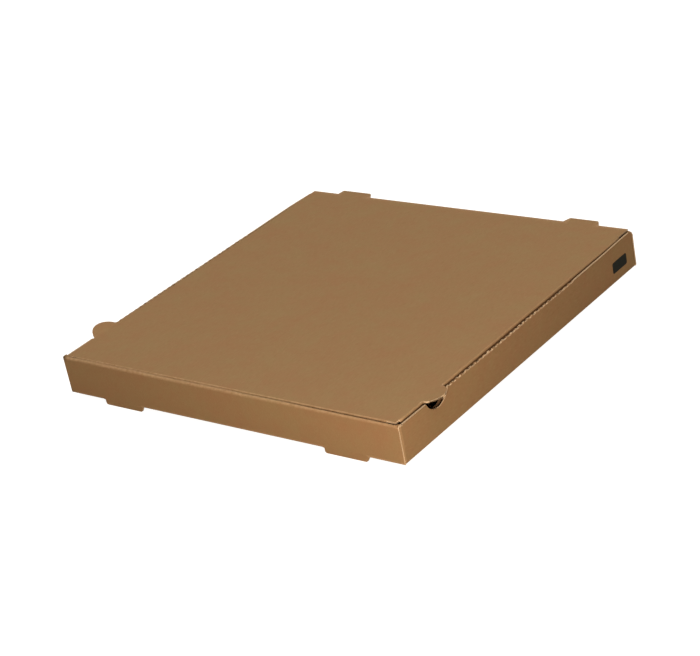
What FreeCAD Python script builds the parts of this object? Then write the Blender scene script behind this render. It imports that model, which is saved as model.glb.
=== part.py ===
"""Folded corrugated pizza box: a tray with a rolled-over front wall, and the lid that turns on its back wall.

The frame is in millimetres: +X to the right along the front, +Y from front to back, +Z up.
The origin is the centre of the base panel's underside, so the two front tabs reach below zero.
The box is cut and folded from one sheet, and the lid turns at the crease on top of the back wall.
"""

import FreeCAD
import Part
import Sketcher
import math
import os
import re

# Driving dimensions, in millimetres
SIZES = {
    "box_width": 330.0,
    "box_depth": 330.0,
    "box_height": 31.8,
    "board": 1.5,
    "ply_gap": 0.15,
    "fold_round": 1.2,
    "hinge_gap": 0.25,
    "flap_gap": 0.3,
    "side_wall_drop": 1.1,
    "corner_round": 4.0,
    "front_flap_length": 62.0,
    "rear_flap_length": 24.0,
    "flap_slant": 9.0,
    "front_tab_centre": 110.2,
    "front_tab_length": 42.3,
    "front_tab_drop": 4.1,
    "front_tab_taper": 2.4,
    "front_tab_round": 2.2,
    "lock_tab_length": 27.0,
    "lock_tab_lift": 0.3,
    "back_tab_centre": 117.8,
    "back_tab_length": 37.6,
    "back_tab_reach": 6.8,
    "back_tab_taper": 4.0,
    "back_tab_round": 2.0,
    "slot_gap": 0.3,
    "side_gap": 1.4,
    "front_gap": 0.4,
    "raw_setback": 1.2,
    "ear_radius": 14.5,
    "ear_reach": 7.1,
    "ear_from_front": 48.0,
    "notch_gap": 0.5,
    "notch_depth": 9.4,
    "tooth_pitch": 6.0,
    "tooth_cut": 3.0,
    "tooth_depth": 0.8,
    "tooth_count": 29,
    "tooth_from_front": 64.0,
    "side_flap_depth": 24.0,
    "side_flap_front": 5.0,
    "side_flap_back": 15.0,
    "side_flap_slant": 14.0,
    "tuck_depth": 23.0,
    "tuck_lean": 1.4,
    "tuck_inset": 9.0,
    "tuck_round": 10.0,
}

# Places that pieces share, worked out in the sheet from the sizes above
PLACES = {
    "half_width": "box_width / 2",
    "half_depth": "box_depth / 2",
    "wall_inner": "half_width - board",
    "back_inner": "half_depth - board",
    "flap_outer": "back_inner - ply_gap",
    "flap_inner": "flap_outer - board",
    "deck_back": "3 * board + 2 * ply_gap - half_depth",
    "roll_front": "deck_back - board",
    "lid_under": "box_height - board",
    "back_top": "lid_under - hinge_gap",
    "under_deck": "lid_under - flap_gap",
    "flap_foot": "board + flap_gap",
    "side_top": "box_height - side_wall_drop",
    "rear_flap_top": "side_top - corner_round",
    "crease_y": "half_depth - board / 2",
    "crease_z": "box_height - board / 2",
    "lid_half": "wall_inner - side_gap",
    "lid_front": "deck_back + front_gap",
    "ear_x": "half_width + ear_reach - ear_radius",
    "ear_y": "ear_from_front - half_depth",
    "ear_hole_z": "crease_z + lid_half - board / 2 - ear_x",
    "notch_radius": "ear_radius + notch_gap",
    "notch_z": "side_top + notch_radius - notch_depth",
    "tooth_front": "tooth_from_front - half_depth",
    "tab_sweep": "sqrt((back_tab_reach + board / 2) ^ 2 + (board / 2) ^ 2)",
    "back_slot_foot": "crease_z - tab_sweep - slot_gap",
    "side_flap_start": "lid_front + side_flap_front",
    "side_flap_end": "crease_y - side_flap_back",
    "side_flap_foot": "box_height - side_flap_depth",
    "tuck_foot": "box_height - tuck_depth",
    "tuck_end": "lid_half - tuck_inset",
    "ground": "0 * board",
    "bend_x": "half_width - fold_round",
    "bend_front": "fold_round - flap_outer",
    "bend_back": "flap_outer - fold_round",
    "rear_bend_y": "flap_outer - corner_round",
    "front_tip_inner": "front_tab_centre - front_tab_length / 2 + front_tab_taper",
    "front_tip_outer": "front_tab_centre + front_tab_length / 2 - front_tab_taper",
    "back_tip_inner": "back_tab_centre - back_tab_length / 2 + back_tab_taper",
    "back_tip_outer": "back_tab_centre + back_tab_length / 2 - back_tab_taper",
    "back_tip": "half_depth + back_tab_reach",
}

doc = FreeCAD.newDocument("pizza_box")
sheet = doc.addObject("Spreadsheet::Sheet", "sizes")
cells = list(SIZES.items()) + [(alias, "=" + formula) for alias, formula in PLACES.items()]
for row, (alias, content) in enumerate(cells, start=1):
    sheet.set("A%d" % row, alias)
    sheet.set("B%d" % row, str(content))
    sheet.setAlias("B%d" % row, alias)
doc.recompute()


def from_sheet(formula):
    """The formula with every name in it read from the sheet."""
    return re.sub(r"[a-z]\w*", r"sizes.\g<0>", formula)


def new_body(name):
    """An empty body with the label that names its file."""
    body = doc.addObject("PartDesign::Body", name)
    body.Label = name
    return body


def new_sketch(body, name, plane, offset):
    """A sketch on one of the body's own origin planes, moved along that plane's normal."""
    sketch = body.newObject("Sketcher::SketchObject", name + "_outline")
    support = [f for f in body.Origin.OriginFeatures if f.Role == plane][0]
    sketch.AttachmentSupport = [(support, "")]
    sketch.MapMode = "FlatFace"
    if offset is not None:
        sketch.setExpression("AttachmentOffset.Base.z", from_sheet(offset))
    return sketch


def bind(sketch, kind, elements, formula, start=1.0):
    """Adds a dimension to the sketch, with a first value, and ties it to the sheet."""
    index = sketch.addConstraint(Sketcher.Constraint(kind, *elements, start))
    sketch.setExpression("Constraints[%d]" % index, from_sheet(formula))


def place_point(sketch, element, point, across, up, start=(1.0, 1.0)):
    """Ties a point's two distances from the sketch's origin to the sheet."""
    bind(sketch, "DistanceX", (-1, 1, element, point), across, start[0])
    bind(sketch, "DistanceY", (-1, 1, element, point), up, start[1])


def polygon(body, name, plane, corners, offset=None):
    """A closed outline through corners, each a pair of formulas."""
    sketch = new_sketch(body, name, plane, offset)
    count = len(corners)
    spots = [FreeCAD.Vector(i, i * i, 0) for i in range(count)]
    for i in range(count):
        sketch.addGeometry(Part.LineSegment(spots[i], spots[(i + 1) % count]))
    for i in range(count):
        sketch.addConstraint(Sketcher.Constraint("Coincident", i, 2, (i + 1) % count, 1))
    for i, (across, up) in enumerate(corners):
        place_point(sketch, i, 1, across, up)
    return sketch


def rectangle(body, name, plane, across, up, offset=None):
    """A rectangle between two pairs of formulas."""
    corners = [(across[0], up[0]), (across[1], up[0]), (across[1], up[1]), (across[0], up[1])]
    return polygon(body, name, plane, corners, offset)


def circle(body, name, plane, centre, radius, offset=None):
    """A circle whose centre and radius are formulas."""
    sketch = new_sketch(body, name, plane, offset)
    sketch.addGeometry(Part.Circle(FreeCAD.Vector(1, 1, 0), FreeCAD.Vector(0, 0, 1), 1.0))
    place_point(sketch, 0, 3, *centre)
    bind(sketch, "Radius", (0,), radius)
    return sketch


def corner_waste(body, name, plane, centre, radius, side, level):
    """What rounding a square corner takes off: an arc about the centre and the corner's two edges.
    The corner lies to the side (1 or -1) of the centre, and above it or below it at level (1 or -1).
    """
    sketch = new_sketch(body, name, plane, None)
    middle = FreeCAD.Vector(sheet.get(centre[0]), sheet.get(centre[1]), 0)
    bend = sheet.get(radius)
    beside = middle + FreeCAD.Vector(side * bend, 0, 0)
    above = middle + FreeCAD.Vector(0, level * bend, 0)
    tip = FreeCAD.Vector(beside.x, above.y, 0)
    counterclockwise = side == level
    first, last = (beside, above) if counterclockwise else (above, beside)
    start = math.atan2(first.y - middle.y, first.x - middle.x)
    whole = Part.Circle(middle, FreeCAD.Vector(0, 0, 1), bend)
    sketch.addGeometry(Part.ArcOfCircle(whole, start, start + math.pi / 2))
    sketch.addGeometry(Part.LineSegment(last, tip))
    sketch.addGeometry(Part.LineSegment(tip, first))
    for element, following in ((0, 1), (1, 2), (2, 0)):
        sketch.addConstraint(Sketcher.Constraint("Coincident", element, 2, following, 1))
    across_end, up_end = (1, 2) if counterclockwise else (2, 1)
    sketch.addConstraint(Sketcher.Constraint("Horizontal", 0, 3, 0, across_end))
    sketch.addConstraint(Sketcher.Constraint("Vertical", 0, 3, 0, up_end))
    sketch.addConstraint(Sketcher.Constraint("Vertical", up_end))
    sketch.addConstraint(Sketcher.Constraint("Horizontal", 3 - up_end))
    place_point(sketch, 0, 3, *centre, start=(middle.x, middle.y))
    bind(sketch, "Radius", (0,), radius, bend)
    return sketch


def finish_feature(body, feature):
    """Makes the newest feature the body's shape."""
    body.Tip = feature
    doc.recompute()
    return feature


def pad(body, name, sketch, length, side="One side"):
    """Board added along the sketch's normal, or half to each side of it."""
    feature = body.newObject("PartDesign::Pad", name)
    feature.Profile = sketch
    feature.SideType = side
    feature.setExpression("Length", from_sheet(length))
    return finish_feature(body, feature)


def cut(body, name, sketch, length=None, along_normal=False, side="One side"):
    """Board cut away against the sketch's normal or along it, and right through both ways if no length is given."""
    before = body.Shape.Volume
    feature = body.newObject("PartDesign::Pocket", name)
    feature.Profile = sketch
    feature.Reversed = along_normal
    if length is None:
        feature.SideType = "Symmetric"
        feature.Type = "ThroughAll"
    else:
        feature.SideType = side
        feature.setExpression("Length", from_sheet(length))
    finish_feature(body, feature)
    if body.Shape.Volume >= before:
        raise RuntimeError(name + " removes nothing")
    return feature


def mirrored(body, name, features):
    """The same features on the other side of the box."""
    feature = body.newObject("PartDesign::Mirrored", name)
    plane = [f for f in body.Origin.OriginFeatures if f.Role == "YZ_Plane"][0]
    feature.Originals = features
    feature.MirrorPlane = (plane, [""])
    return finish_feature(body, feature)


def rounded(body, name, radius, axis, *places):
    """Rounds the straight edges along one axis at the given places, on both sides of the box."""
    chosen = []
    for number, edge in enumerate(body.Shape.Edges, start=1):
        if edge.Degenerated or edge.Closed:
            continue
        run = edge.Vertexes[-1].Point - edge.Vertexes[0].Point
        if abs(abs(getattr(run, axis)) - edge.Length) > 1e-6:
            continue
        middle = edge.CenterOfMass
        for place in places:
            distances = [abs(abs(getattr(middle, k)) - abs(sheet.get(v))) for k, v in place.items()]
            if max(distances) < 1e-4:
                chosen.append("Edge%d" % number)
    if not chosen:
        raise RuntimeError(name + " finds no edge")
    base = body.Tip
    feature = body.newObject("PartDesign::Fillet", name)
    feature.Base = (base, chosen)
    feature.setExpression("Radius", from_sheet(radius))
    return finish_feature(body, feature)


def tab_corners(centre, length, taper, root, crease, tip):
    """A tab's outline: straight from its root to the crease, then narrowing to its tip."""
    left = "%s - (%s) / 2" % (centre, length)
    right = "%s + (%s) / 2" % (centre, length)
    tip_left = left + " + " + taper
    tip_right = right + " - " + taper
    return [(left, root), (left, crease), (tip_left, tip), (tip_right, tip), (right, crease), (right, root)]


def make_tray():
    """Base, back wall, side walls with their corner flaps, and the front wall rolled over the front flaps."""
    tray = new_body("tray")

    # Outer front wall, the deck on top of it, base and back wall are one strip of board
    strip = [
        ("-half_depth", "ground"),
        ("half_depth", "ground"),
        ("half_depth", "back_top"),
        ("back_inner", "back_top"),
        ("back_inner", "board"),
        ("-back_inner", "board"),
        ("-back_inner", "lid_under"),
        ("deck_back", "lid_under"),
        ("deck_back", "box_height"),
        ("-half_depth", "box_height"),
    ]
    pad(tray, "strip", polygon(tray, "strip", "YZ_Plane", strip), "box_width", "Symmetric")
    folds = [
        {"y": "half_depth", "z": "ground"},
        {"y": "half_depth", "z": "box_height"},
        {"y": "deck_back", "z": "box_height"},
    ]
    rounded(tray, "cross_folds", "fold_round", "x", *folds)

    # Inner front ply, between the side walls
    ply = rectangle(
        tray, "inner_ply", "YZ_Plane", ("roll_front", "deck_back"), ("board + ply_gap", "lid_under + board / 2")
    )
    pad(tray, "inner_ply", ply, "2 * (wall_inner - flap_gap)", "Symmetric")

    # Side wall, lower where the deck lies over it
    wall = [
        ("-flap_outer", "ground"),
        ("flap_outer", "ground"),
        ("flap_outer", "side_top"),
        ("deck_back + flap_gap", "side_top"),
        ("deck_back + flap_gap", "under_deck"),
        ("-flap_outer", "under_deck"),
    ]
    side_wall = pad(tray, "side_wall", polygon(tray, "side_wall", "YZ_Plane", wall, "wall_inner"), "board")

    # Corner flaps fold inwards from the side wall's ends
    flap = [
        ("half_width", "flap_foot"),
        ("half_width", "under_deck"),
        ("half_width - front_flap_length + flap_slant", "under_deck"),
        ("half_width - front_flap_length", "under_deck - flap_slant"),
        ("half_width - front_flap_length", "flap_foot"),
    ]
    front_flap = pad(tray, "front_flap", polygon(tray, "front_flap", "XZ_Plane", flap, "flap_inner"), "board")
    flap = [
        ("half_width", "flap_foot"),
        ("half_width", "rear_flap_top"),
        ("half_width - rear_flap_length + flap_slant", "rear_flap_top"),
        ("half_width - rear_flap_length", "rear_flap_top - flap_slant"),
        ("half_width - rear_flap_length", "flap_foot"),
    ]
    rear_flap = pad(tray, "rear_flap", polygon(tray, "rear_flap", "XZ_Plane", flap, "-flap_outer"), "board")

    # Slot in the base that the front tab was cut from, and the inner ply's tab that locks in it
    slot = [
        ("front_tab_centre - front_tab_length / 2", "-back_inner"),
        ("front_tab_centre + front_tab_length / 2", "-back_inner"),
        (
            "front_tab_centre + front_tab_length / 2 - front_tab_taper",
            "front_tab_drop + slot_gap - back_inner",
        ),
        (
            "front_tab_centre - front_tab_length / 2 + front_tab_taper",
            "front_tab_drop + slot_gap - back_inner",
        ),
    ]
    base_slot = cut(tray, "base_slot", polygon(tray, "base_slot", "XY_Plane", slot, "board"), "board")
    lock = rectangle(
        tray,
        "lock_tab",
        "XZ_Plane",
        ("front_tab_centre - lock_tab_length / 2", "front_tab_centre + lock_tab_length / 2"),
        ("lock_tab_lift", "2 * board"),
        "-deck_back",
    )
    lock_tab = pad(tray, "lock_tab", lock, "board")

    # Tab that stays in the front wall's plane and reaches below the base
    tab = tab_corners(
        "front_tab_centre", "front_tab_length", "front_tab_taper", "board", "ground", "-front_tab_drop"
    )
    front_tab = pad(tray, "front_tab", polygon(tray, "front_tab", "XZ_Plane", tab, "back_inner"), "board")

    # Slot in the back wall that the lid's tab was cut from and swings through
    slot = tab_corners(
        "back_tab_centre",
        "back_tab_length + 2 * slot_gap",
        "back_tab_taper",
        "box_height",
        "lid_under",
        "back_slot_foot",
    )
    back_slot = cut(tray, "back_slot", polygon(tray, "back_slot", "XZ_Plane", slot, "-back_inner"), "board")

    # Outside of the folds from the side wall to the base and to its flaps
    right_side = [side_wall, front_flap, rear_flap, base_slot, lock_tab, front_tab, back_slot]
    fold = corner_waste(tray, "bottom_fold", "XZ_Plane", ("bend_x", "fold_round"), "fold_round", 1, -1)
    right_side.append(cut(tray, "bottom_fold", fold, "2 * flap_outer", side="Symmetric"))
    for name, bend_y, level in (("front_fold", "bend_front", -1), ("rear_fold", "bend_back", 1)):
        fold = corner_waste(tray, name, "XY_Plane", ("bend_x", bend_y), "fold_round", 1, level)
        right_side.append(cut(tray, name, fold, "under_deck", along_normal=True))
    mirrored(tray, "left_side", right_side)

    # Finger notches under the lid's ears, through both side walls
    notch = circle(tray, "finger_notches", "YZ_Plane", ("ear_y", "notch_z"), "notch_radius")
    cut(tray, "finger_notches", notch)

    # Toothed edge left on top of the side walls by a perforating rule
    tooth = rectangle(
        tray,
        "tooth_cut",
        "YZ_Plane",
        ("tooth_front", "tooth_front + tooth_cut"),
        ("side_top - tooth_depth", "side_top + tooth_depth"),
    )
    first_cut = cut(tray, "tooth_cut", tooth)
    teeth = tray.newObject("PartDesign::LinearPattern", "toothed_edge")
    teeth.Originals = [first_cut]
    teeth.Direction = ([f for f in tray.Origin.OriginFeatures if f.Role == "Y_Axis"][0], [""])
    teeth.setExpression("Length", from_sheet("tooth_pitch * (tooth_count - 1)"))
    teeth.setExpression("Occurrences", from_sheet("tooth_count"))
    finish_feature(tray, teeth)

    # Rear corners of the walls and corners of the tabs
    centre = ("rear_bend_y", "rear_flap_top")
    waste = corner_waste(tray, "side_wall_corners", "YZ_Plane", centre, "corner_round", 1, 1)
    cut(tray, "side_wall_corners", waste)
    rounded(tray, "back_wall_corners", "corner_round", "y", {"x": "half_width", "z": "back_top"})
    tips = [{"x": "front_tip_inner", "z": "front_tab_drop"}, {"x": "front_tip_outer", "z": "front_tab_drop"}]
    rounded(tray, "front_tab_corners", "front_tab_round", "y", *tips)
    return tray


def make_lid():
    """Lid panel with its tuck flap, side flaps, ears and back tabs."""
    lid = new_body("lid")

    # Panel, with the raw edges beside its flaps set back, and the crease as a round edge on the joint's axis
    panel = rectangle(
        lid,
        "panel",
        "XY_Plane",
        ("raw_setback - lid_half", "lid_half - raw_setback"),
        ("lid_front + raw_setback", "crease_y"),
        "lid_under",
    )
    pad(lid, "panel", panel, "board")
    crease = circle(lid, "crease", "YZ_Plane", ("crease_y", "crease_z"), "board / 2")
    pad(lid, "crease", crease, "2 * (lid_half - raw_setback)", "Symmetric")

    # Front tuck flap, leaning back so that its foot clears the front wall as the lid opens
    tuck = [
        ("lid_front", "box_height"),
        ("lid_front + tuck_lean", "tuck_foot"),
        ("lid_front + tuck_lean + board", "tuck_foot"),
        ("lid_front + board", "lid_under"),
        ("lid_front + 3 * board", "lid_under"),
        ("lid_front + 3 * board", "box_height"),
    ]
    tuck_flap = polygon(lid, "tuck_flap", "YZ_Plane", tuck)
    pad(lid, "tuck_flap", tuck_flap, "2 * (lid_half - tuck_inset)", "Symmetric")

    # Side flap inside the side wall, with the hole that the ear was cut from
    flap = [
        ("side_flap_start", "box_height"),
        ("side_flap_end", "box_height"),
        ("side_flap_end", "lid_under"),
        ("side_flap_end - side_flap_slant", "side_flap_foot"),
        ("side_flap_start + side_flap_slant", "side_flap_foot"),
        ("side_flap_start", "lid_under"),
    ]
    side_flap = pad(lid, "side_flap", polygon(lid, "side_flap", "YZ_Plane", flap, "lid_half - board"), "board")
    hole = circle(lid, "ear_hole", "YZ_Plane", ("ear_y", "ear_hole_z"), "ear_radius", "lid_half - board")
    ear_hole = cut(lid, "ear_hole", hole, "board", along_normal=True)
    ear = pad(lid, "ear", circle(lid, "ear", "XY_Plane", ("ear_x", "ear_y"), "ear_radius", "lid_under"), "board")

    # Tab that stays in the lid's plane and reaches past the crease
    tab = tab_corners(
        "back_tab_centre",
        "back_tab_length",
        "back_tab_taper",
        "crease_y - board",
        "half_depth",
        "half_depth + back_tab_reach",
    )
    back_tab = pad(lid, "back_tab", polygon(lid, "back_tab", "XY_Plane", tab, "lid_under"), "board")
    mirrored(lid, "left_side", [side_flap, ear_hole, ear, back_tab])

    rounded(lid, "side_folds", "fold_round", "y", {"x": "lid_half", "z": "box_height"})
    rounded(lid, "front_fold", "fold_round", "x", {"y": "lid_front", "z": "box_height"})
    rounded(lid, "tuck_corners", "tuck_round", "y", {"x": "tuck_end", "z": "tuck_foot"})
    tips = [{"x": "back_tip_inner", "y": "back_tip"}, {"x": "back_tip_outer", "y": "back_tip"}]
    rounded(lid, "back_tab_corners", "back_tab_round", "z", *tips)
    return lid


pieces = [make_tray(), make_lid()]

for item in doc.Objects:
    if "Invalid" in item.State or "Error" in item.State:
        raise RuntimeError(item.Name + " is in state " + ", ".join(item.State))
for piece in pieces:
    if piece.Shape.isNull() or not piece.Shape.isValid() or len(piece.Shape.Solids) != 1:
        raise RuntimeError(piece.Label + " isn't one valid solid")

os.makedirs("parts", exist_ok=True)
for piece in pieces:
    piece.Shape.exportStep("parts/" + piece.Label + ".step")
    box = piece.Shape.BoundBox
    corners = (box.XMin, box.XMax, box.YMin, box.YMax, box.ZMin, box.ZMax)
    print(piece.Label, "%.0f mm3" % piece.Shape.Volume, ["%.2f" % c for c in corners])
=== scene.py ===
"""Look of a folded pizza box of brown kraft corrugated board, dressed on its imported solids.

The box is one folded sheet. Its two nodes, the tray and the lid, are copied, cut into small cells, bent as
hand-folded board bends, and given the finish of kraft liner outside and of cut corrugated board along every
raw edge.
"""

import math

import bmesh
import bpy
from mathutils import Matrix, Vector, noise


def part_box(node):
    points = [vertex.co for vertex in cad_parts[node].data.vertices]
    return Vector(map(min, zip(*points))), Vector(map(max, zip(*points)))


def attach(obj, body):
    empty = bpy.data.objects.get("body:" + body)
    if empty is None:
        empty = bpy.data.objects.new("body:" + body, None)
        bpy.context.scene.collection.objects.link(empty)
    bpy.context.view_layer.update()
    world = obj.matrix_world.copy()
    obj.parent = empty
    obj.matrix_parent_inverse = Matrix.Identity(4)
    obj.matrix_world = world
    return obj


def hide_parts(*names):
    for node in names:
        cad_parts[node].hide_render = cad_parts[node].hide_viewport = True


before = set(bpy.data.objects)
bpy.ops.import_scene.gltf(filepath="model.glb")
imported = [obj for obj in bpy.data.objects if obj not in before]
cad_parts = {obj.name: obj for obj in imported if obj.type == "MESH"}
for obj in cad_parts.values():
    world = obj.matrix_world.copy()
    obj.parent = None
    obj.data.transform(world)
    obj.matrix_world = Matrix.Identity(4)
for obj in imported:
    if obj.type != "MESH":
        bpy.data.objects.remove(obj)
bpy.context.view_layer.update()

MM = 0.001
tray_low, tray_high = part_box("tray")
lid_low, lid_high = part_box("lid")

# The board and the box's main lines, in metres
BOARD = 1.5 * MM
FLUTE_PITCH = 3.2 * MM
WALL = tray_high.x
WALL_INSIDE = WALL - 1.2 * BOARD
FRONT = tray_low.y
FRONT_INSIDE = FRONT + 1.2 * BOARD
DECK_BACK = FRONT + 6 * MM
REAR = tray_high.y
DEPTH = REAR - FRONT
CREASE_Y = REAR - BOARD / 2
TOP = lid_high.z
SIDE_FOLD = WALL - 2.9 * MM
SIDE_TOP = TOP - 1.1 * MM
TEETH = (-101 * MM, 71 * MM)
EAR_Y = -117 * MM
EAR_HALF = 16 * MM
NOTCH_HALF = 18 * MM
TAB_X = 110 * MM
TAB_HALF = 27 * MM
TUCK_FLAP_END = 150 * MM
PRINT_CENTRE = Vector((WALL, 140.3 * MM, 12.9 * MM))
PRINT_HALF = Vector((2 * MM, 11.2 * MM, 4.9 * MM))

# How the lid has given way, as the photograph shows it
LID_SLIP = 0.5 * MM
LID_SAG = 0.35 * MM
LID_WAVE = 0.22 * MM
LID_FORWARD = 1.8 * MM
LEAN_REACH = 25 * MM
CORNER_FORWARD = 0.8 * MM
LEFT_FOLD_ROLL = 0.7 * MM
LEFT_EDGE_RISE = 1.1 * MM
RISE_REACH = 30 * MM
LEFT_REAR_SPREAD = 0.9 * MM
RIGHT_REAR_SPREAD = 0.4 * MM
LEFT_EAR_LIFT = math.radians(17)
RIGHT_EAR_LIFT = math.radians(5)
EAR_NARROWING = 0.08
BACK_TAB_WEAR = 2.8 * MM

# How the tray has given way
LEFT_WALL_BOW = 0.3 * MM
RIGHT_WALL_BOW = 0.7 * MM
WALL_WAVE = 0.18 * MM
LEFT_WALL_RISE = 0.8 * MM
RIGHT_REAR_RISE = 0.7 * MM
FRONT_BULGE = 0.35 * MM
DECK_FORWARD = 1.6 * MM
DECK_GAP = 1.5 * MM
DECK_WAVE = 0.16 * MM
END_CRUSH = 0.4 * MM
TAB_SHIFT = 2.0 * MM
FRONT_TAB_WEAR = 1.7 * MM

# Folds sharper than SHARP are cut edges, and flat board is cut into cells of CELL so that it can bend
SHARP = math.radians(55)
CELL = 11 * MM

# Colours of the board, as sRGB
KRAFT = ("#9c7550", "#9a7b53")
PALE_FIBRE = "#b48e66"
DARK_FIBRE = "#7b5a3a"
# Scuffed fold colour, lightened further by a painted highlight
SCUFFED_FOLD_HIGHLIGHT = "#c9a37a"
# Painted shade for the insides of folds and for the gaps between lid and walls
PAINTED_SHADE_BROWN = "#4f2d0e"
TORN_TUFT = "#dcb890"
INK = "#0d1f21"
CUT_PAPER = ("#dcb68a", "#f0d2aa")
BARE_CUT = "#8c6642"
# Painted shade in the flute hollows of cut edges
HOLLOW_SHADE = "#6e4a2b"


# Shapes


def board_of(node):
    """The node's board as one merged mesh whose flat faces are whole, ready to be cut and bent."""
    board = bmesh.new()
    board.from_mesh(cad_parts[node].data)
    bmesh.ops.remove_doubles(board, verts=board.verts, dist=0.005 * MM)
    flat = math.radians(0.3)
    bmesh.ops.dissolve_limit(board, angle_limit=flat, verts=board.verts, edges=board.edges)
    return board


def mark_cut_edges(board):
    """Second finish on the faces where the sheet was cut: about one board thick between two sharp sides."""
    for face in board.faces:
        around = face.calc_perimeter()
        sharp = sum(edge.calc_length() for edge in face.edges if edge.calc_face_angle(0) > SHARP)
        thickness = 2 * face.calc_area() / around
        face.material_index = 1 if thickness < 1.15 * BOARD and sharp > 0.3 * around else 0


def mark_folds(board):
    """Attribute that is 1 along the outside of a fold, where the liner is stretched and a painted highlight
    goes, and -1 inside it, where painted shade goes.
    """
    fold = board.verts.layers.float.new("fold")
    for edge in board.edges:
        bend = edge.calc_face_angle_signed(0)
        whole = all(face.material_index == 0 for face in edge.link_faces)
        if whole and math.radians(4) < abs(bend) < SHARP:
            for corner in edge.verts:
                corner[fold] = math.copysign(1, bend)
    return fold


def cut_lines(board, axis, places):
    """Cuts the board by planes square to one axis, so that it can bend there."""
    normal = Vector([float(axis == i) for i in range(3)])
    for place in places:
        whole = board.verts[:] + board.edges[:] + board.faces[:]
        bmesh.ops.bisect_plane(board, geom=whole, dist=0.002 * MM, plane_co=normal * place, plane_no=normal)


def steps(start, end, step):
    """Even places from start to end, no further apart than step."""
    count = math.ceil((end - start) / step)
    return [start + (end - start) * i / count for i in range(count + 1)]


def ramp(value, start, end):
    """Share of the way from start to end, held between 0 and 1."""
    return min(1.0, max(0.0, (value - start) / (end - start)))


def unevenness(point, length, seed):
    """Slow random height from about -1 to 1 that turns over in about the given length."""
    return 2 * noise.noise(point / length + Vector((seed, 2.7 * seed, 0.3)))


def right_of_tab(point):
    """How far a point lies to the right of the middle of its side's tab."""
    return point.x - math.copysign(TAB_X, point.x)


def bend_lid(point):
    """Where a point of the lid moves: it has slipped, sagged and leant forward, and its ears stand up."""
    moved = point.copy()
    forward = (CREASE_Y - point.y) / DEPTH
    to_left = max(0.0, -point.x / WALL)
    to_right = max(0.0, point.x / WALL)
    beyond = max(0.0, abs(point.x) - SIDE_FOLD)
    on_panel = ramp(beyond, 6 * MM, 0)

    # The ears stand up from the side folds, and the lid's left edge rises round the left ear
    lift = RIGHT_EAR_LIFT if point.x > 0 else LEFT_EAR_LIFT
    moved.x -= math.copysign(beyond * (1 - math.cos(lift)), point.x)
    moved.z += beyond * math.sin(lift)
    from_ear = point.y - EAR_Y
    on_ear = abs(point.x) > SIDE_FOLD - 0.6 * MM and abs(from_ear) < EAR_HALF
    if on_ear and point.z > TOP - 1.1 * BOARD:
        moved.y -= from_ear * EAR_NARROWING
    if point.x < 0:
        rise = math.exp(-(((from_ear - 10 * MM) / RISE_REACH) ** 2))
        moved.z += LEFT_EDGE_RISE * rise * ramp(point.x, RISE_REACH - SIDE_FOLD, -SIDE_FOLD)

    # The lid has slipped to the left, its left fold has rolled outwards, and its rear corners have spread
    moved.x -= LID_SLIP * min(1.0, 0.5 + forward)
    moved.x -= LEFT_FOLD_ROLL * to_left * on_panel
    moved.x += RIGHT_REAR_SPREAD * to_right * (1 - forward) * on_panel
    moved.x -= LEFT_REAR_SPREAD * to_left * max(0.0, 1 - 4.5 * forward) * on_panel

    # The front edge leans over the deck, more so to the left and past the ends of the tuck flap
    if point.z > TOP - 6.1 * MM:
        near_front = ramp(point.y, lid_low.y + LEAN_REACH, lid_low.y)
        past_flap = ramp(abs(point.x), TUCK_FLAP_END, TUCK_FLAP_END + 4 * MM)
        lean = LID_FORWARD * (1 - 0.1 * point.x / WALL) + CORNER_FORWARD * past_flap
        moved.y -= lean * near_front
        if point.x < 0:
            moved.x -= CORNER_FORWARD * near_front * past_flap

    # Both back tabs are worn narrower at their left ends, and the right one at its right end too
    if point.y > REAR - 2.5 * MM and abs(abs(point.x) - TAB_X) < TAB_HALF:
        from_middle = right_of_tab(point)
        moved.x += BACK_TAB_WEAR * ramp(from_middle, 0, -20 * MM) * ramp(point.y, REAR + 3 * MM, REAR)
        if point.x > 0:
            moved.x -= BACK_TAB_WEAR * ramp(from_middle, 0, 20 * MM)

    # The panel sags between its folds and is a little uneven
    inside = max(0.0, 1 - (point.x / SIDE_FOLD) ** 2) * max(0.0, 1 - (2 * forward - 1) ** 2)
    free = min(1.0, 3 * inside + 0.25 * max(0.0, forward))
    flat = Vector((point.x, point.y, 0))
    moved.z -= LID_SAG * inside
    moved.z += LID_WAVE * free * unevenness(flat, length=70 * MM, seed=3.1)
    return moved


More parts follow.
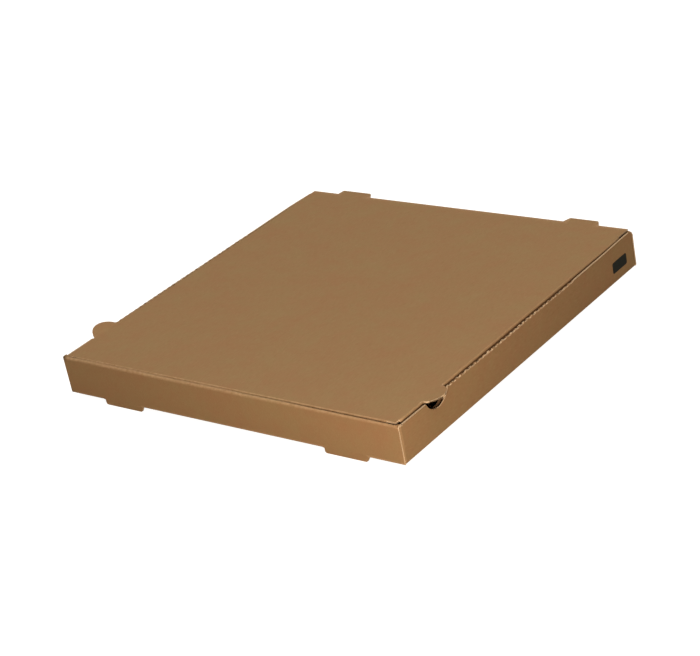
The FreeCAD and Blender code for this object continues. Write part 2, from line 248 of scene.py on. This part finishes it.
def bend_tray(point):
    """Where a point of the tray moves: its side walls bow outwards, and its rolled front wall is uneven."""
    moved = point.copy()
    height = max(0.0, point.z) / TOP
    along = max(0.0, 1 - (2 * point.y / DEPTH) ** 2)
    off_corners = min(1.0, 3 * max(0.0, 1 - (point.x / WALL) ** 2))

    # The side walls bow outwards at the top, and the left one and the right rear corner have risen
    if abs(point.x) > WALL_INSIDE:
        bow = (RIGHT_WALL_BOW if point.x > 0 else LEFT_WALL_BOW) * along
        bow += WALL_WAVE * min(1.0, 4 * along) * unevenness(point, length=32 * MM, seed=5.3)
        moved.x += math.copysign(bow * height, point.x)
        if point.x < 0:
            moved.z += LEFT_WALL_RISE * height**3 * ramp(point.y, REAR, REAR - 30 * MM)
        else:
            moved.z += RIGHT_REAR_RISE * height**3 * ramp(point.y, 110 * MM, 155 * MM)

    # The front tabs sit to the right in their slots, and their left ends are worn steep
    if point.z < 0.05 * MM and point.y < FRONT_INSIDE and abs(abs(point.x) - TAB_X) < TAB_HALF:
        left_end = ramp(right_of_tab(point), 0, -18 * MM)
        moved.x += TAB_SHIFT + FRONT_TAB_WEAR * left_end * max(0.0, 1 + point.z / (2.5 * MM))

    # The outer front wall bulges, and its raw ends are crushed thinner
    if point.y < FRONT_INSIDE:
        middle = max(0.0, 1 - (2 * height - 1) ** 2)
        bulge = 0.6 + unevenness(point, length=55 * MM, seed=8.2)
        moved.y -= FRONT_BULGE * middle * off_corners * bulge
    if FRONT + 0.8 * BOARD < point.y < FRONT + 1.3 * BOARD and abs(point.x) > WALL_INSIDE:
        moved.y -= END_CRUSH

    # The deck is pressed narrower, and opens a gap to the lid towards its right end
    behind_wall = FRONT_INSIDE < point.y < DECK_BACK and abs(point.x) < WALL_INSIDE
    if behind_wall and point.z > TOP - 7 * MM:
        high = ramp(point.z, TOP - 7 * MM, TOP - 3 * MM)
        inward = ramp(point.y, FRONT_INSIDE, FRONT_INSIDE + 1.5 * MM)
        moved.y -= (DECK_FORWARD + DECK_GAP * max(0.0, point.x / WALL)) * high * inward
    if point.y < DECK_BACK and point.z > TOP - 2.2 * BOARD:
        line = Vector((point.x, 0, 0))
        moved.z += DECK_WAVE * off_corners * unevenness(line, length=24 * MM, seed=1.7)
    return moved


def paint_gap_shade(board, fold):
    """Painted shade on the lid's flaps in the gaps beside the walls, further down behind the finger notches,
    and under the front edge.
    """
    for corner in board.verts:
        place = corner.co
        behind_notch = abs(place.y - EAR_Y) < NOTCH_HALF
        shaded_down_to = TOP - (12.1 * MM if behind_notch else 2 * MM)
        on_side_flap = SIDE_FOLD - 1.1 * BOARD < abs(place.x) < SIDE_FOLD + 0.1 * MM
        if on_side_flap and shaded_down_to < place.z < TOP - 1.3 * MM:
            corner[fold] = -1.0 if behind_notch else -0.7
        # Painted shade under the lid's front edge, stronger towards the right
        if place.y < lid_low.y + 0.1 * MM and TOP - 2 * MM < place.z < TOP - 1.3 * MM:
            corner[fold] = -0.8 * ramp(place.x / WALL, -0.3, 0.7)


def darken_wall_tops(board, fold):
    """The side walls' cut tops are darkened beyond the torn perforation."""
    for corner in board.verts:
        on_top = abs(corner.co.x) > WALL_INSIDE and corner.co.z > SIDE_TOP - 0.1 * MM
        if on_top and not TEETH[0] < corner.co.y < TEETH[1]:
            corner[fold] = -0.35


def tear_teeth(board):
    """Ragged tips where the side walls' perforation tore, and an attribute that is 1 on the torn fibres."""
    torn = board.verts.layers.float.new("torn")
    for corner in board.verts:
        on_wall = abs(corner.co.x) > WALL_INSIDE and TEETH[0] < corner.co.y < TEETH[1]
        if not on_wall or corner.co.z <= SIDE_TOP - 1.0 * MM:
            continue
        on_tip = corner.co.z > SIDE_TOP - 0.3 * MM
        corner[torn] = 1.0 if on_tip else 0.35
        if corner.co.x < 0:
            # The left side tore cleanly, and only traces of the perforation are left
            corner.co.z = max(corner.co.z, SIDE_TOP - 0.15 * MM)
        elif on_tip:
            corner.co.z += 0.3 * MM * noise.noise(corner.co / (0.9 * MM))
            corner.co.x += 0.2 * MM * noise.noise(corner.co / (0.8 * MM) + Vector((4, 4, 4)))


def lay_out_cut_edges(board):
    """UV map of the raw edges: U along the cut in metres, V across the board from 0 to 1."""
    cut = board.loops.layers.uv.new("cut")
    for face in board.faces:
        if face.material_index != 1:
            continue

        # The cut runs along the longest side, and a side with a sharp edge counts three times
        side = max(
            face.edges,
            key=lambda edge: edge.calc_length() * (3 if edge.calc_face_angle(0) > SHARP else 1),
        )
        start = side.verts[0].co
        along = (side.verts[1].co - start).normalized()
        crosses_flutes = abs(along.x) < 0.7
        for loop in face.loops:
            offset = loop.vert.co - start
            across = (offset - along * offset.dot(along)).length / BOARD
            place = loop.vert.co.y + loop.vert.co.z if crosses_flutes else 0.0
            loop[cut].uv = (place, across)


def add_piece(board, name, body, node, materials):
    """Adds the board as a smooth-shaded piece that rides on its body and stands for its node."""
    mesh = bpy.data.meshes.new(name)
    for material in materials:
        mesh.materials.append(material)
    board.to_mesh(mesh)
    board.free()
    mesh.polygons.foreach_set("use_smooth", [True] * len(mesh.polygons))
    mesh.set_sharp_from_angle(angle=SHARP)
    piece = bpy.data.objects.new(name, mesh)
    bpy.context.scene.collection.objects.link(piece)
    even = piece.modifiers.new("even_shading", "WEIGHTED_NORMAL")
    even.keep_sharp = True
    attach(piece, body)
    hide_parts(node)


def make_lid(materials):
    """The lid: panel, tuck flap, side flaps, ears and back tabs."""
    board = board_of("lid")
    mark_cut_edges(board)
    near_folds = (1.8 * MM, 4 * MM)
    cut_lines(board, 0, [side * (SIDE_FOLD - near) for side in (-1, 1) for near in near_folds])
    cut_lines(board, 0, steps(-150 * MM, 150 * MM, CELL))
    cut_lines(board, 1, [lid_low.y + 2.2 * MM, *steps(-150 * MM, 150 * MM, CELL), CREASE_Y - 4 * MM])
    cut_lines(board, 2, [TOP - down * MM for down in (1.6, 6, 9, 12)])
    fold = mark_folds(board)
    paint_gap_shade(board, fold)
    for corner in board.verts:
        corner.co = bend_lid(corner.co)
    lay_out_cut_edges(board)
    add_piece(board, "lid_board", "lid", "lid", materials)


def make_tray(materials):
    """The tray: base, walls, corner flaps, rolled front wall with its deck and locking tabs."""
    board = board_of("tray")
    mark_cut_edges(board)
    cells = steps(-152 * MM, 152 * MM, CELL)
    cut_lines(board, 0, [-WALL + 4.5 * MM, *cells, WALL - 4.5 * MM])
    cut_lines(board, 1, [FRONT + 2.2 * MM, FRONT + 3.6 * MM, *cells, REAR - 4.5 * MM])
    cut_lines(board, 2, [-0.3 * MM, 2.4 * MM, 10 * MM, 19 * MM, TOP - 4.6 * MM, TOP - 2.2 * MM])
    fold = mark_folds(board)
    darken_wall_tops(board, fold)
    tear_teeth(board)
    for corner in board.verts:
        corner.co = bend_tray(corner.co)
    lay_out_cut_edges(board)
    add_piece(board, "tray_board", "tray", "tray", materials)


# Finishes


def colour(code):
    """Linear colour of an sRGB hex value."""
    parts = [int(code[i : i + 2], 16) / 255 for i in (1, 3, 5)]
    return tuple(c / 12.92 if c <= 0.04045 else ((c + 0.055) / 1.055) ** 2.4 for c in parts) + (1.0,)


def add(tree, kind, inputs, **settings):
    """Adds a node with its settings, and fills each input from a value or from another node's output."""
    node = tree.nodes.new("ShaderNode" + kind)
    for name, value in settings.items():
        setattr(node, name, value)
    for socket, value in inputs.items():
        if isinstance(value, bpy.types.NodeSocket):
            tree.links.new(value, node.inputs[socket])
        else:
            node.inputs[socket].default_value = value
    return node


def new_material(name):
    """An empty material's node tree and its surface shader."""
    material = bpy.data.materials.new(name)
    material.use_nodes = True
    tree = material.node_tree
    return material, tree, tree.nodes["Principled BSDF"]


def kraft_liner(name, printed):
    """Brown kraft liner, unbleached long-fibre paper pressed smooth: matt, with fibres, clouds and flutes."""
    material, tree, surface = new_material(name)
    place = add(tree, "TexCoord", {}).outputs["Object"]

    # Clouds of the paper's formation, about 30 mm and 7 mm across
    cloud = add(tree, "TexNoise", {"Vector": place, "Scale": 1 / (30 * MM), "Detail": 3.0}).outputs[0]
    fine_cloud = add(tree, "TexNoise", {"Vector": place, "Scale": 1 / (7 * MM), "Detail": 4.0}).outputs[0]
    clouds = add(tree, "Math", {0: cloud, 1: fine_cloud}, operation="ADD").outputs[0]
    tone = add(tree, "MapRange", {"Value": clouds, "From Min": 0.7, "From Max": 1.3}).outputs[0]
    kraft = {0: tone, 6: colour(KRAFT[0]), 7: colour(KRAFT[1])}
    shade = add(tree, "Mix", kraft, data_type="RGBA").outputs[2]

    # Fibres lie along the paper web; real ones are 0.05 mm wide, so these are drawn about 0.7 mm wide to show
    fineness = (1 / (0.7 * MM), 1 / (4 * MM), 1 / (1.4 * MM))
    web = add(tree, "Mapping", {"Vector": place, "Scale": fineness}).outputs[0]
    fibre = add(tree, "TexNoise", {"Vector": web, "Scale": 1.0, "Detail": 2.0}).outputs[0]
    light_range = {"Value": fibre, "From Min": 0.56, "From Max": 0.8, "To Max": 0.25}
    dark_range = {"Value": fibre, "From Min": 0.44, "From Max": 0.2, "To Max": 0.25}
    light_fibre = add(tree, "MapRange", light_range).outputs[0]
    dark_fibre = add(tree, "MapRange", dark_range).outputs[0]
    shade = add(tree, "Mix", {0: light_fibre, 6: shade, 7: colour(PALE_FIBRE)}, data_type="RGBA").outputs[2]
    shade = add(tree, "Mix", {0: dark_fibre, 6: shade, 7: colour(DARK_FIBRE)}, data_type="RGBA").outputs[2]

    # The stretched outside of a fold is scuffed lighter, with a painted highlight on it, and painted shade
    # darkens its inside and the flaps in the gaps
    fold = add(tree, "Attribute", {}, attribute_name="fold").outputs["Fac"]
    scuff = add(tree, "TexNoise", {"Vector": place, "Scale": 1 / (2.5 * MM), "Detail": 4.0}).outputs[0]
    worn_range = {"Value": scuff, "From Min": 0.25, "From Max": 0.75, "To Min": 0.05, "To Max": 0.5}
    worn = add(tree, "MapRange", worn_range).outputs[0]
    scuff_and_highlight = add(tree, "Math", {0: fold, 1: worn}, operation="MULTIPLY", use_clamp=True).outputs[0]
    painted_shade = add(tree, "Math", {0: fold, 1: -0.8}, operation="MULTIPLY", use_clamp=True).outputs[0]
    shade = add(tree, "Mix", {0: scuff_and_highlight, 6: shade, 7: colour(SCUFFED_FOLD_HIGHLIGHT)}, data_type="RGBA").outputs[2]
    shade = add(tree, "Mix", {0: painted_shade, 6: shade, 7: colour(PAINTED_SHADE_BROWN)}, data_type="RGBA").outputs[2]

    if printed:
        # Fluffed fibres of the torn perforation
        torn = add(tree, "Attribute", {}, attribute_name="torn").outputs["Fac"]
        tuft = add(tree, "MapRange", {"Value": scuff, "From Min": 0.45, "From Max": 0.6}).outputs[0]
        torn = add(tree, "Math", {0: torn, 1: tuft}, operation="MULTIPLY").outputs[0]
        shade = add(tree, "Mix", {0: torn, 6: shade, 7: colour(TORN_TUFT)}, data_type="RGBA").outputs[2]

        # One plain dark field of flexographic ink, with rounded corners of 2 mm
        corner_round = 2 * MM
        inner = PRINT_HALF - Vector((corner_round,) * 3)
        offset = add(tree, "VectorMath", {0: place, 1: PRINT_CENTRE}, operation="SUBTRACT").outputs[0]
        offset = add(tree, "VectorMath", {0: offset}, operation="ABSOLUTE").outputs[0]
        offset = add(tree, "VectorMath", {0: offset, 1: inner}, operation="SUBTRACT").outputs[0]
        offset = add(tree, "VectorMath", {0: offset, 1: (0, 0, 0)}, operation="MAXIMUM").outputs[0]
        outside = add(tree, "VectorMath", {0: offset}, operation="LENGTH").outputs["Value"]
        field_edge = {"From Min": corner_round, "From Max": corner_round - 0.3 * MM}
        ink = add(tree, "MapRange", {"Value": outside, **field_edge, "To Max": 0.94}).outputs[0]
        shade = add(tree, "Mix", {0: ink, 6: shade, 7: colour(INK)}, data_type="RGBA").outputs[2]

    # The flutes show through the liner as faint ridges; a wave texture of scale 1 repeats every 2 pi / 20 m
    ridges = {"Vector": place, "Scale": 2 * math.pi / FLUTE_PITCH / 20}
    flutes = add(tree, "TexWave", ridges, wave_type="BANDS", bands_direction="Y").outputs["Fac"]
    relief = add(tree, "Math", {0: flutes, 1: 0.25, 2: fibre}, operation="MULTIPLY_ADD").outputs[0]
    bump = add(tree, "Bump", {"Height": relief, "Strength": 0.35, "Distance": 0.025 * MM}).outputs[0]

    roughness = add(tree, "MapRange", {"Value": fine_cloud, "To Min": 0.82, "To Max": 0.95}).outputs[0]
    tree.links.new(shade, surface.inputs["Base Color"])
    tree.links.new(roughness, surface.inputs["Roughness"])
    tree.links.new(bump, surface.inputs["Normal"])
    surface.inputs["Specular IOR Level"].default_value = 0.08
    return material


def cut_corrugated_edge():
    """Die-cut edge of E-flute board: pale cut liners, the wave of the medium between them, and painted shade
    in the hollows.
    """
    material, tree, surface = new_material("cut_corrugated_edge")

    # The medium is a sine wave between the liners, and what is neither medium nor liner is hollow
    place = add(tree, "UVMap", {}, uv_map="cut").outputs[0]
    split = add(tree, "SeparateXYZ", {0: place})
    along, across = split.outputs[0], split.outputs[1]
    phase = add(tree, "Math", {0: along, 1: 2 * math.pi / FLUTE_PITCH}, operation="MULTIPLY").outputs[0]
    wave = add(tree, "Math", {0: phase}, operation="SINE").outputs[0]
    medium = add(tree, "Math", {0: wave, 1: 0.33, 2: 0.5}, operation="MULTIPLY_ADD").outputs[0]
    off_medium = add(tree, "Math", {0: across, 1: medium}, operation="SUBTRACT").outputs[0]
    off_medium = add(tree, "Math", {0: off_medium}, operation="ABSOLUTE").outputs[0]
    off_middle = add(tree, "Math", {0: across, 1: 0.5}, operation="SUBTRACT").outputs[0]
    off_middle = add(tree, "Math", {0: off_middle}, operation="ABSOLUTE").outputs[0]
    past_medium = add(tree, "MapRange", {"Value": off_medium, "From Min": 0.08, "From Max": 0.17}).outputs[0]
    past_liner = add(tree, "MapRange", {"Value": off_middle, "From Min": 0.38, "From Max": 0.3}).outputs[0]
    hollow = add(tree, "Math", {0: past_medium, 1: past_liner}, operation="MULTIPLY").outputs[0]

    # Cut paper is fuzzy and paler than the liner's face
    fuzz_place = add(tree, "TexCoord", {}).outputs["Object"]
    fuzz = add(tree, "TexNoise", {"Vector": fuzz_place, "Scale": 1 / (0.8 * MM), "Detail": 3.0}).outputs[0]
    fuzzy = {0: fuzz, 6: colour(CUT_PAPER[0]), 7: colour(CUT_PAPER[1])}
    paper = add(tree, "Mix", fuzzy, data_type="RGBA").outputs[2]

    # Where the perforation tore, only tufts of fibre a millimetre or two wide stay pale
    torn = add(tree, "Attribute", {}, attribute_name="torn").outputs["Fac"]
    tuft = add(tree, "TexNoise", {"Vector": fuzz_place, "Scale": 1 / (2.2 * MM), "Detail": 2.0}).outputs[0]
    bare = add(tree, "MapRange", {"Value": tuft, "From Min": 0.56, "From Max": 0.46}).outputs[0]
    bare = add(tree, "Math", {0: bare, 1: torn}, operation="MULTIPLY").outputs[0]
    paper = add(tree, "Mix", {0: bare, 6: paper, 7: colour(BARE_CUT)}, data_type="RGBA").outputs[2]
    # Painted shade darkens the flute hollows
    hollow_shade = add(tree, "Math", {0: hollow, 1: 0.45}, operation="MULTIPLY").outputs[0]
    shade = add(tree, "Mix", {0: hollow_shade, 6: paper, 7: colour(HOLLOW_SHADE)}, data_type="RGBA").outputs[2]

    # Painted shade: inside the gaps the cut edge is as dark as the flap beside it
    fold = add(tree, "Attribute", {}, attribute_name="fold").outputs["Fac"]
    dark = add(tree, "Math", {0: fold, 1: -0.8}, operation="MULTIPLY", use_clamp=True).outputs[0]
    shade = add(tree, "Mix", {0: dark, 6: shade, 7: colour(PAINTED_SHADE_BROWN)}, data_type="RGBA").outputs[2]

    bump = add(tree, "Bump", {"Height": fuzz, "Strength": 0.6, "Distance": 0.1 * MM}).outputs[0]
    tree.links.new(shade, surface.inputs["Base Color"])
    tree.links.new(bump, surface.inputs["Normal"])
    surface.inputs["Roughness"].default_value = 0.95
    surface.inputs["Specular IOR Level"].default_value = 0.1
    return material


# Stage


def make_floor():
    """A pale floor on which the box rests by its front tabs and the fold under its back wall."""
    tilt = math.atan2(-tray_low.z, DEPTH)
    sheet = bmesh.new()
    bmesh.ops.create_grid(sheet, x_segments=1, y_segments=1, size=3.0)
    bmesh.ops.transform(sheet, matrix=Matrix.Rotation(tilt, 4, "X"), verts=sheet.verts)
    bmesh.ops.translate(sheet, vec=(0, 0, tray_low.z / 2 - 0.1 * MM), verts=sheet.verts)
    mesh = bpy.data.meshes.new("floor")
    sheet.to_mesh(mesh)
    sheet.free()
    floor = bpy.data.objects.new("floor", mesh)
    bpy.context.scene.collection.objects.link(floor)

    # Matt pale studio paper, lit up to white for the camera only, so that the box's shadow stays faint on it
    material = bpy.data.materials.new("pale_studio_paper")
    material.use_nodes = True
    tree = material.node_tree
    tree.nodes.clear()
    rays = add(tree, "LightPath", {})
    paper = add(tree, "BsdfDiffuse", {"Color": colour("#b4ab9f")}).outputs[0]
    glow = add(tree, "Emission", {"Color": colour("#ffffff"), "Strength": 0.93}).outputs[0]
    seen = add(tree, "AddShader", {0: paper, 1: glow}).outputs[0]
    either = add(tree, "MixShader", {0: rays.outputs["Is Camera Ray"], 1: paper, 2: seen}).outputs[0]
    add(tree, "OutputMaterial", {"Surface": either})
    mesh.materials.append(material)


def make_world():
    """Even pale surroundings, seen and mirrored as white."""
    world = bpy.data.worlds.new("studio")
    world.use_nodes = True
    tree = world.node_tree
    tree.nodes.clear()
    rays = add(tree, "LightPath", {})
    camera, glossy, through = (rays.outputs[f"Is {kind} Ray"] for kind in ("Camera", "Glossy", "Transmission"))
    mirrored = add(tree, "Math", {0: glossy, 1: through}, operation="MAXIMUM").outputs[0]
    seen = add(tree, "Math", {0: camera, 1: mirrored}, operation="MAXIMUM").outputs[0]
    strength = add(tree, "MapRange", {"Value": seen, "To Min": 0.3, "To Max": 1.0}).outputs[0]
    glow = add(tree, "Background", {"Color": colour("#ffffff"), "Strength": strength}).outputs[0]
    add(tree, "OutputWorld", {"Surface": glow})
    bpy.context.scene.world = world


def make_lamp(name, place, aim, width, power, tint):
    """A square soft lamp that shines from its place towards a point."""
    light = bpy.data.lights.new(name, "AREA")
    light.size = width
    light.energy = power
    light.color = colour(tint)[:3]
    lamp = bpy.data.objects.new(name, light)
    lamp.location = place
    lamp.rotation_euler = (Vector(aim) - Vector(place)).to_track_quat("-Z", "Y").to_euler()
    lamp.visible_camera = False
    bpy.context.scene.collection.objects.link(lamp)


def make_camera():
    """The photograph's view: the place, turn and lens were solved from the box's seven visible corners."""
    azimuth, elevation, roll = (math.radians(angle) for angle in (41.640, 25.714, -11.279))
    camera = bpy.data.objects.new("photo_camera", bpy.data.cameras.new("photo_camera"))
    camera.data.sensor_width = 36
    camera.data.lens = 101.8
    camera.matrix_world = (
        Matrix.Translation((0.95047, -1.07698, 0.69291))
        @ Matrix.Rotation(azimuth, 4, "Z")
        @ Matrix.Rotation(math.pi / 2 - elevation, 4, "X")
        @ Matrix.Rotation(roll, 4, "Z")
    )
    bpy.context.scene.collection.objects.link(camera)
    bpy.context.scene.camera = camera


make_camera()
make_world()
make_lamp("overhead_softbox", place=(0.0, 0.1, 1.3), aim=(0, 0, 0), width=1.4, power=10.9, tint="#ffffff")
near_corner = (0.165, -0.165, 0.03)
make_lamp("side_softbox", place=(0.50, -0.59, 0.18), aim=near_corner, width=0.24, power=3.2, tint="#fff1e4")
make_floor()

cut_edge = cut_corrugated_edge()
make_lid([kraft_liner("kraft_liner_lid", printed=False), cut_edge])
make_tray([kraft_liner("kraft_liner_tray", printed=True), cut_edge])

bpy.context.scene.view_settings.view_transform = "Standard"
